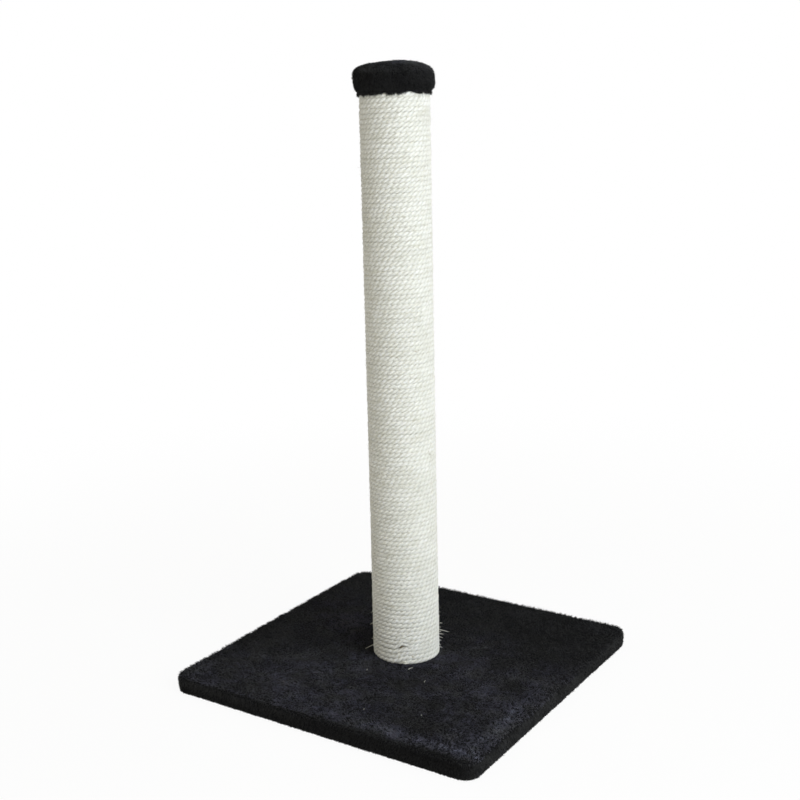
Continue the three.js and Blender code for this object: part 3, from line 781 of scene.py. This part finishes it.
def ropeLine():
    reach = (rope["strandRadius"] + rope["strandOffset"]) * mm
    radius, turns = rope["coilRadius"] * mm, rope["turns"]
    count = int(turns * 2 * math.pi * radius / (rope["lay"] * mm) * rope["stepsPerLay"])
    turn = np.linspace(-rope["tuckTurns"], turns, count)
    angle = np.radians(rope["startAngle"] + 360 * turn)
    along = (turn - turn[0]) * 2 * math.pi * radius
    outward = np.stack([np.cos(angle), np.sin(angle), 0 * angle], axis=1)
    probe = outward * rope["waverRound"] + (turn * rope["waverUp"])[:, None] * up
    waver = rope["waver"] * mm * patchNoise(probe, 1.0, 11)
    waver = waver + rope["wander"] * mm * drift(along, rope["wanderLength"] * mm, 12)
    ends = np.clip(np.minimum(turn, turns - turn) / 2, 0, 1)
    low, high = rope["foot"] * mm + reach, rope["top"] * mm - reach
    pitch = (high - low) / (turns - 1)
    z = low + pitch * woundLevel(np.maximum(turn, 0)) + ends * waver
    press = rope["press"] + 0 * turn
    for passed, share in rope["slitLifts"]:
        near = bell(turn - rope["slitTurn"] - passed, rope["slitLength"])
        z = z + rope["slit"] * mm * share * near
        if passed < 1:
            press = press - rope["slitEase"] * near
    lift = rope["lift"] * mm * drift(along, rope["liftLength"] * mm, 13)
    lift = lift + rope["swell"] * mm * (1 - smoothStep(0, rope["swellHeight"] * mm, z - low))
    thin = rope["tuckThin"] + (1 - rope["tuckThin"]) * smoothStep(-rope["tuckTurns"], 0.02, turn)
    z = z - (1 - thin) * reach
    centre = outward * (radius + lift)[:, None] + z[:, None] * up
    return {"centre": centre, "outward": outward, "along": along, "thin": thin, "press": press}


def wireMesh(name, paths, radius, sides):
    # paths are (points, radius factors), bevelled as a curve and made a mesh
    curve = bpy.data.curves.new(name, "CURVE")
    curve.dimensions = "3D"
    curve.bevel_depth = radius
    curve.bevel_resolution = (sides - 4) // 2
    curve.use_fill_caps = True
    for points, factors in paths:
        spline = curve.splines.new("POLY")
        spline.points.add(len(points) - 1)
        spline.points.foreach_set("co", np.column_stack([points, np.ones(len(points))]).ravel())
        spline.points.foreach_set("radius", factors)
    holder = bpy.data.objects.new(name + "_line", curve)
    bpy.context.scene.collection.objects.link(holder)
    shown = holder.evaluated_get(bpy.context.evaluated_depsgraph_get())
    mesh = bpy.data.meshes.new_from_object(shown)
    bpy.data.objects.remove(holder)
    bpy.data.curves.remove(curve)
    mesh.name = name
    mesh.shade_smooth()
    return mesh


def closeSeams(mesh):
    # joins the end caps of bevelled curves to their tubes
    joined = bmesh.new()
    joined.from_mesh(mesh)
    bmesh.ops.remove_doubles(joined, verts=joined.verts[:], dist=1e-7)
    joined.to_mesh(mesh)
    joined.free()


def makeStrand(line, index):
    along, outward, centre = line["along"], line["outward"], line["centre"]
    laid = 2 * math.pi * (along / (rope["lay"] * mm) + index / 3)
    laid = laid + strand["layDrift"] * drift(along, strand["layLength"] * mm, 31)
    uneven = 1 + strand["offsetDrift"] * drift(along, strand["offsetLength"] * mm, 40 + index)
    offset = rope["strandOffset"] * mm * uneven * line["thin"]
    points = (centre + outward * (offset * np.cos(laid))[:, None]
              + up * (offset * np.sin(laid))[:, None])
    factors = (1 + strand["swell"] * drift(along, strand["swellLength"] * mm, 50 + index)) * line["thin"]
    factors[:3] *= strand["endTaper"]
    factors[-3:] *= strand["endTaper"][::-1]
    sides = strand["sides"]
    mesh = wireMesh(f"sisal_strand_{index + 1}", [(points, factors)], rope["strandRadius"] * mm, sides)
    co = np.empty(len(mesh.vertices) * 3)
    mesh.vertices.foreach_get("co", co)
    co = co.reshape(-1, 3)
    # which point of the line each vertex goes round; the two end caps come last
    ring = np.repeat(np.append(np.arange(len(points)), (0, len(points) - 1)), sides)
    spoke = unit(co - points[ring])
    around = np.arctan2((spoke * up).sum(1), (spoke * outward[ring]).sum(1))
    around = around + along[ring] / (strand["fibreTwist"] * mm) * 2 * math.pi
    run = along[ring] / (strand["fibreLength"] * mm) + 40 * index
    fibre = np.stack([np.cos(around), np.sin(around)], axis=1) * strand["fibreRound"]
    data = mesh.attributes.new("fibre", "FLOAT_VECTOR", "POINT").data
    data.foreach_set("vector", np.column_stack([fibre, run]).astype(np.float32).ravel())
    # 0 in the middle of the rope and in the grooves, 1 on its outside; it sets the painted shade in the lay
    away = ((co - centre[ring]) * outward[ring]).sum(1)
    reach = (rope["strandRadius"] + rope["strandOffset"]) * mm
    depth = np.clip(0.5 + 0.5 * away / reach, 0, 1)
    mesh.attributes.new("depth", "FLOAT", "POINT").data.foreach_set("value", depth.astype(np.float32))
    middle = centre[ring][:, 2]
    pressed = middle + line["press"][ring] * (co[:, 2] - middle)
    co[:, 2] = np.clip(pressed, rope["foot"] * mm, rope["top"] * mm)
    mesh.vertices.foreach_set("co", co.ravel())
    closeSeams(mesh)
    return placePiece(mesh.name, mesh, sisal, ["sisal_rope"])


ropeRun = ropeLine()
for strandIndex in range(3):
    makeStrand(ropeRun, strandIndex)
print("rope wound:", round(float(ropeRun["along"][-1]), 2), "m in", rope["turns"], "turns")


# loose sisal fibres on the winding, at its cut end and fallen on the base; sizes in mm
fibres = {
    "radius": 0.11, "taper": (1.0, 1.0, 0.95, 0.8, 0.45), "surface": 44.2,
    # lengths and thicknesses are ranges, the climb is a mean and a spread in radians
    "count": 5200, "low": 24.5, "high": 760, "lengths": (5, 19), "thickness": (0.7, 1.25),
    "climb": (0.12, 0.38), "backwards": 0.45, "standOff": 0.7, "mostStandOff": 6, "bend": 1.2, "sunk": 0.5,
    # the frayed cut end at the foot
    "endCount": 46, "endRise": (0.8, 4.0), "endSpread": (-0.03, 0.07), "endLengths": (2.5, 6),
    "endClimb": (0.1, 0.5), "endStandOff": (0.8, 3.4), "endSunk": 1.0, "endBend": 1,
    "endThickness": (1.6, 2.6),
    # a few stuck together: round in degrees, height, length, climb and how far the tip stands off
    "strays": [(29, 54.5, 6, -60, 14), (29, 63.5, 6, -25, 5.3), (29, 48, 6, -30, 7), (29, 44, 6, -42, 5.5),
               (29, 29.5, 6, -38, 4.5), (30, 79, 5, -20, 2.4), (28, 72, 5, 15, 2.0), (30, 58.5, 5, -40, 3.0),
               (28, 51, 5, -12, 3.2), (30, 38.5, 5, -30, 3.4), (28, 34, 5, -48, 2.8),
               (-144, 34, 6.5, -85, 12), (-144, 65.6, 6, -50, 4.5),
               (-144, 42.6, 6, -32, 2.8), (-144, 82.6, 6, -53, 2.6)],
    "strayThickness": 3.0, "strayBend": 1.5, "strayCurl": 1.2,
    # on the base: across, along, turn in degrees and length
    "fallen": [(-10.7, -80.7, 107, 4), (36.5, -48.4, 69, 8), (72, -71, 104, 6), (47.7, -175.5, 100, 2.5),
               (116, -152, 82, 2)],
    "fallenThickness": 2.4, "fallenHeight": 25.3, "fallenSag": 2.0,
}


def clingingFibre(angle, z, length, climb, standOff, surface, bend, curl=2.2):
    share = np.linspace(0, 1, len(fibres["taper"]))
    turned = angle + share * length * math.cos(climb) / surface
    radius = surface + standOff * share ** curl
    rise = z + length * share * math.sin(climb) + bend * share * (1 - share)
    return np.stack([radius * np.cos(turned), radius * np.sin(turned), rise], axis=1)


def woundFibres(rng):
    surface, taper = fibres["surface"] * mm, np.array(fibres["taper"])
    for _ in range(fibres["count"]):
        angle = rng.uniform(0, math.tau)
        z = rng.uniform(fibres["low"], fibres["high"]) * mm
        length = rng.uniform(*fibres["lengths"]) * mm
        climb = rng.normal(*fibres["climb"]) + (math.pi if rng.random() < fibres["backwards"] else 0)
        standOff = min(rng.exponential(fibres["standOff"]), fibres["mostStandOff"]) * mm
        bend = rng.normal(0, fibres["bend"]) * mm
        sunk = rng.uniform(0, fibres["sunk"]) * mm
        path = clingingFibre(angle, z, length, climb, standOff, surface - sunk, bend)
        path[:, 2] = np.clip(path[:, 2], 25 * mm, (rope["top"] - 1) * mm)
        yield path, taper * rng.uniform(*fibres["thickness"])


def endFibres(rng):
    surface, taper = fibres["surface"] * mm, np.array(fibres["taper"])
    start = math.radians(rope["startAngle"])
    for _ in range(fibres["endCount"]):
        z = (rope["foot"] + rng.uniform(*fibres["endRise"])) * mm
        angle = start + rng.uniform(*fibres["endSpread"])
        length = rng.uniform(*fibres["endLengths"]) * mm
        climb = rng.normal(*fibres["endClimb"])
        standOff = rng.uniform(*fibres["endStandOff"]) * mm
        sunk = rng.uniform(0, fibres["endSunk"]) * mm
        bend = rng.normal(0, fibres["endBend"]) * mm
        path = clingingFibre(angle, z, -length, climb, standOff, surface - sunk, bend)
        path[:, 2] = np.maximum(path[:, 2], 24.8 * mm)
        yield path, taper * rng.uniform(*fibres["endThickness"])


def placedFibres():
    surface, taper = fibres["surface"] * mm, np.array(fibres["taper"])
    for degrees, z, length, climb, standOff in fibres["strays"]:
        way = -1 if degrees < -90 else 1
        path = clingingFibre(math.radians(degrees), z * mm, way * length * mm, way * math.radians(climb),
                             standOff * mm, surface, fibres["strayBend"] * mm, fibres["strayCurl"])
        yield path, taper * fibres["strayThickness"]
    share = np.linspace(-0.5, 0.5, len(taper))
    height = fibres["fallenHeight"] - fibres["fallenSag"] * share ** 2
    for x, y, turn, length in fibres["fallen"]:
        a = math.radians(turn)
        path = np.stack([x + share * length * math.cos(a), y + share * length * math.sin(a), height], axis=1)
        yield path * mm, taper * fibres["fallenThickness"]


def makeFibres():
    rng = np.random.default_rng(77)
    paths = [*woundFibres(rng), *endFibres(rng), *placedFibres()]
    mesh = wireMesh("loose_sisal_fibres", paths, fibres["radius"] * mm, 4)
    closeSeams(mesh)
    return placePiece("loose_sisal_fibres", mesh, looseFibre)


makeFibres()
print("loose fibres laid")


# wadding crowned over the disc, and plush drawn over it and stapled under the disc; sizes in mm
cap = {
    "seat": 764.1, "radius": 48.0, "bulge": 15,
    "tuck": 4.4, "tuckPower": 2.8, "tuckShares": (0.8, 0.6, 0.4, 0.2, 0.0),
    "crown": 20.8, "radialPower": 2.3, "heightPower": 3.3, "crownSteps": 15,
    "hem": ((30, 0.9), (36, 0.9), (41.2, 1.0), (43.6, 1.8)),  # radius and height above the seat
    "overRope": 44.4, "segments": 72, "cloth": 0.6,
    "dent": 0.55, "dentOut": 0.35, "dentsPerMetre": 45,
    # the pad is a little fuller to the left, with a hollow before a squarer shoulder
    "shift": 0.7, "rise": 0.8, "hollow": 3.0, "shoulder": 4.7,
    "flat": (0.165, 0.165), "flatArea": 0.0196,
}
capPile = {
    "body": 15000, "fringe": 3600, "length": 5.6, "width": 0.95, "lean": 62, "swirl": (0.7, 0.7, 0.25),
    "fringeRadii": (43.4, 45.2), "fringeHeights": (0.8, 3.8), "fringeLength": 5.4, "fringeClip": (0.15, 1.6),
    # degrees round, half width, how much is missing (less than none where it hides the rope's upper end)
    "gaps": ((-75, 6, 0.5), (-33, 7, 0.8), (128, 16, -0.6)),
}
padSet = {"voxel": 4.0, "start": 0.93, "pressure": 4.0, "reach": 2.2, "frames": 20, "fill": 0.8}


def capProfile():
    points = list(cap["hem"])
    for share in cap["tuckShares"]:
        radius = cap["radius"] - cap["tuck"] * share ** cap["tuckPower"]
        points.append((max(radius, cap["overRope"]), cap["bulge"] * (1 - share)))
    for step in range(1, cap["crownSteps"]):
        a = math.radians(90 * step / cap["crownSteps"])
        radius = cap["radius"] * math.cos(a) ** (2 / cap["radialPower"])
        points.append((radius, cap["bulge"] + cap["crown"] * math.sin(a) ** (2 / cap["heightPower"])))
    points.append((0, cap["bulge"] + cap["crown"]))
    return points


def makeCapCover():
    cover = bmesh.new()
    ends = [cover.verts.new((r * mm, 0, (z + cap["seat"]) * mm)) for r, z in capProfile()]
    outline = [cover.edges.new(pair) for pair in zip(ends, ends[1:])]
    bmesh.ops.spin(cover, geom=ends + outline, cent=(0, 0, 0), axis=(0, 0, 1), dvec=(0, 0, 0),
                   angle=math.tau, steps=cap["segments"], use_merge=True)
    bmesh.ops.remove_doubles(cover, verts=cover.verts[:], dist=1e-5)
    fullSide = Vector(leftward.tolist())
    for v in cover.verts:
        height = (v.co.z - cap["seat"] * mm) / (cap["bulge"] * mm)
        if height > 0.2:
            out = Vector((v.co.x, v.co.y, 0.6 * (v.co.z - (cap["seat"] + cap["bulge"]) * mm))).normalized()
            toFull = v.co.dot(fullSide) / (cap["radius"] * mm)
            dented = cap["dentOut"] + noise.noise(v.co * cap["dentsPerMetre"] + Vector((4.1, 0, 8.2)))
            v.co += out * (cap["dent"] * mm) * dented
            v.co += min(height, 1) * cap["shift"] * mm * fullSide
            inSide = max(toFull, 0)
            rise = cap["rise"] * toFull - cap["hollow"] * inSide + cap["shoulder"] * inSide ** 3
            v.co.z += min(height, 1) * mm * rise
    return clothPiece("cap_cover_cloth", cover, cap["cloth"], "cap_plush")


def growCapBody(mesh, rng):
    seat = cap["seat"] * mm
    roots, normals = rootsOn(mesh, capPile["body"], lambda n: n[:, 2] > -0.6, rng)
    count = len(roots)
    upright = np.clip(normals[:, 2:3], 0, 1)
    naps = unit(roots * (1, 1, 0)) * upright + down * (1 - upright)
    tucked = 1 - smoothStep(seat + 1 * mm, seat + 9 * mm, roots[:, 2])
    flatter = smoothStep(0.3, 0.9, normals[:, 2])
    lean = capPile["lean"] + 6 * flatter + 10 * tucked
    directions = leanPile(roots, normals, naps, lean, capPile["swirl"], rng)
    shorter = 1 - 0.12 * flatter - 0.35 * tucked
    # painted highlight: the flatter top of the cap gets more sheen than its sides
    growPile("cap_pile", "cap_plush", {
        "roots": roots, "directions": directions,
        "lengths": capPile["length"] * mm * shorter * varied(rng, count, 0.1),
        "widths": capPile["width"] * mm * varied(rng, count, 0.2),
        "sheen": sheenOf(roots, rng, 0) * (0.32 + 0.5 * flatter)})


def growCapFringe(rng):
    # ragged pile at the lower edge, that hangs a little over the top of the rope
    count = capPile["fringe"]
    angle = rng.uniform(-math.pi, math.pi, count)
    ring = np.stack([np.cos(angle), np.sin(angle), 0 * angle], axis=1)
    roots = ring * rng.uniform(*capPile["fringeRadii"], count)[:, None] * mm
    roots[:, 2] = cap["seat"] * mm + rng.uniform(*capPile["fringeHeights"], count) * mm
    outwards = rng.normal(0.2, 0.14, count)
    clumps = ring * 44 * mm
    sideways = 0.35 * rng.normal(size=count) + 0.6 * patchNoise(clumps, 6 * mm, 15)
    hang = unit(-up + ring * outwards[:, None] + np.cross(up, ring) * sideways[:, None])
    ragged = 1.15 + 0.6 * patchNoise(clumps, 4.5 * mm, 14) + 0.14 * rng.normal(size=count)
    for at, half, missing in capPile["gaps"]:
        off = np.degrees((angle - math.radians(at) + math.pi) % math.tau - math.pi)
        ragged = ragged * (1 - missing * np.exp(-(off / half) ** 4))
    # painted shade on the hanging fringe: 0.3 of the sheen
    growPile("cap_pile_fringe", "cap_plush", {
        "roots": roots, "directions": hang,
        "lengths": capPile["fringeLength"] * mm * np.clip(ragged, *capPile["fringeClip"]),
        "widths": capPile["width"] * mm * (0.85 + 0.2 * rng.normal(size=count)),
        "sheen": 0.3 * sheenOf(roots, rng, 0)})


def applyModifiers(piece):
    shown = piece.evaluated_get(bpy.context.evaluated_depsgraph_get())
    mesh = bpy.data.meshes.new_from_object(shown)
    old = piece.data
    piece.modifiers.clear()
    piece.data = mesh
    mesh.name = old.name
    bpy.data.meshes.remove(old)


def blowUp(piece):
    # a short cloth simulation with pressure
    cloth = piece.modifiers.new("blow", "CLOTH")
    cloth.settings.use_pressure = True
    cloth.settings.uniform_pressure_force = padSet["pressure"]
    cloth.settings.effector_weights.gravity = 0
    for number in range(1, padSet["frames"] + 1):
        bpy.context.scene.frame_set(number)
    applyModifiers(piece)
    bpy.context.scene.frame_set(1)


def makeCapPad():
    # the wadding, blown up a little inside its room
    pad = bmesh.new()
    pad.from_mesh(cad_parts["cap_wadding"].data)
    bmesh.ops.remove_doubles(pad, verts=pad.verts[:], dist=1e-5)
    low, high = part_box("cap_wadding")
    middle = (low + high) / 2
    bmesh.ops.translate(pad, verts=pad.verts[:], vec=-middle)
    bmesh.ops.scale(pad, verts=pad.verts[:], vec=(padSet["start"],) * 3)
    bmesh.ops.translate(pad, verts=pad.verts[:], vec=middle)
    mesh = bpy.data.meshes.new("cap_wadding_pad")
    pad.to_mesh(mesh)
    pad.free()
    piece = placePiece("cap_wadding_pad", mesh, wadding, ["cap_wadding"])
    remesh = piece.modifiers.new("even", "REMESH")
    remesh.mode = "VOXEL"
    remesh.voxel_size = padSet["voxel"] * mm
    applyModifiers(piece)
    before = np.array([v.co[:] for v in piece.data.vertices])
    blowUp(piece)
    move = np.array([v.co[:] for v in piece.data.vertices]) - before
    far = np.linalg.norm(move, axis=1, keepdims=True)
    after = before + move * np.minimum(1, padSet["reach"] * mm / np.maximum(far, 1e-9))
    after = np.clip(after, np.array(low), np.array(high))
    piece.data.vertices.foreach_set("co", after.ravel())
    piece.data.shade_smooth()
    soft = piece.modifiers.new("smooth", "SUBSURF")
    soft.levels = soft.render_levels = 1
    return piece


capPad = makeCapPad()
capCoverPiece = makeCapCover()
capRandom = np.random.default_rng(33)
growCapBody(capCoverPiece.data, capRandom)
growCapFringe(capRandom)
print("cap covered")


# the CAD nodes that stay, all but these of zinc-plated steel
nodeFinishes = {
    "base_board": chipboard, "cap_disc": chipboard, "post_tube": paperboard,
    "bottom_plug": pine, "top_plug": pine,
}
for nodeName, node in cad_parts.items():
    if node.hide_render:
        continue
    node.data.materials.clear()
    node.data.materials.append(nodeFinishes.get(nodeName, zinc))
print("finishes set on the CAD nodes")
